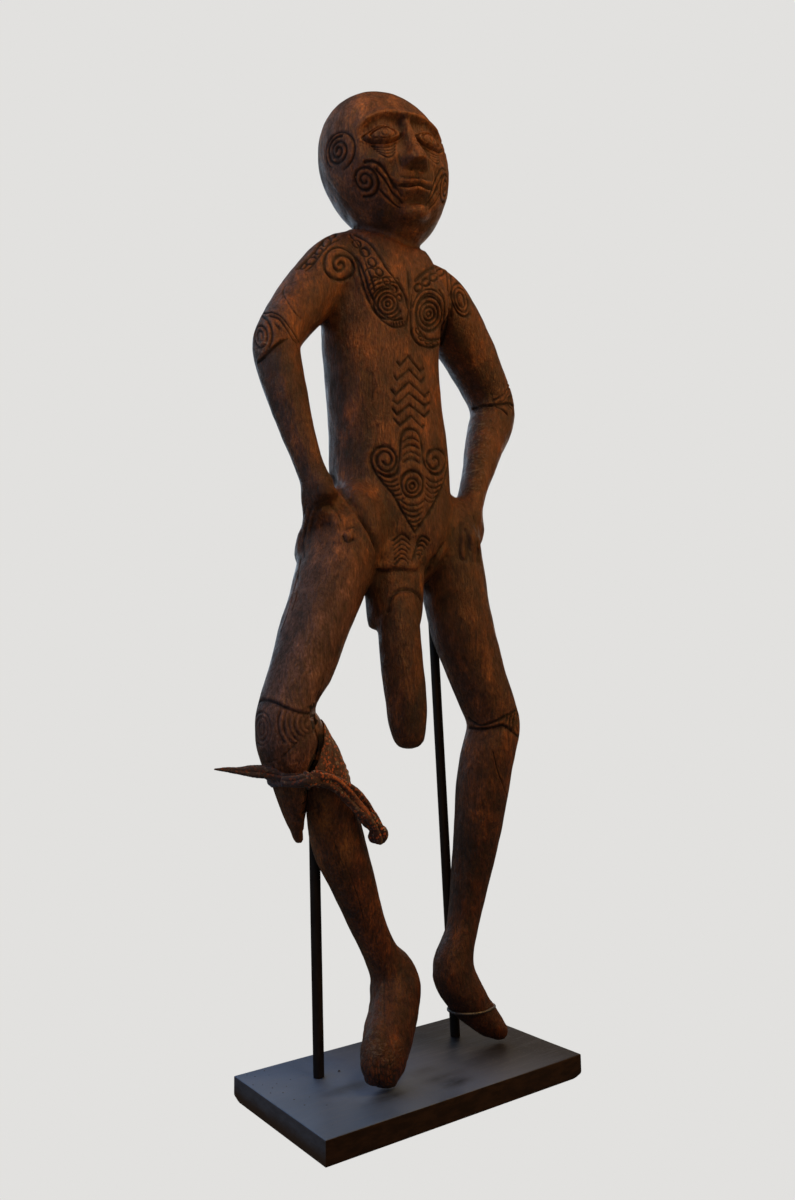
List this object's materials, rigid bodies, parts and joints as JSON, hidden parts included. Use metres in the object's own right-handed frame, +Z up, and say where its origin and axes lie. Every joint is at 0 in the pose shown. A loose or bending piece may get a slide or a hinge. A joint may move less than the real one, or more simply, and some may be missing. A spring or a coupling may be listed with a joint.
{
  "type": "carved ancestor figure",
  "caption": "Standing carved wooden ancestor figure with incised spirals and chevrons, hands on hips, cloth tied round its split leg, held by thin black rods on a dark board plinth.",
  "frame": {"origin": "centre of the plinth's underside", "axes": "+X along the plinth's long side towards the figure's left, -Y towards the figure's front, +Z up"},
  "size_m": [0.6826, 0.28, 1.7312],
  "materials": {
    "carved_wood": "old dark brown carved wood, worn warm brown on the high parts, satin",
    "carved_wood_leg": "the same old carved wood, satin",
    "printed_cloth": "thin printed cotton, dark with orange and grey-blue dots",
    "plinth_paint": "matte dark slate paint",
    "rod_paint": "matte black paint",
    "wire_steel": "dull grey wire"
  },
  "bodies": {
    "root": {"figure": "carved_wood", "lower_leg": "carved_wood_leg", "kerchief": "printed_cloth", "plinth": "plinth_paint", "rod_knee": "rod_paint", "rod_seat": "rod_paint", "foot_ring": "wire_steel"}
  },
  "joints": []
}
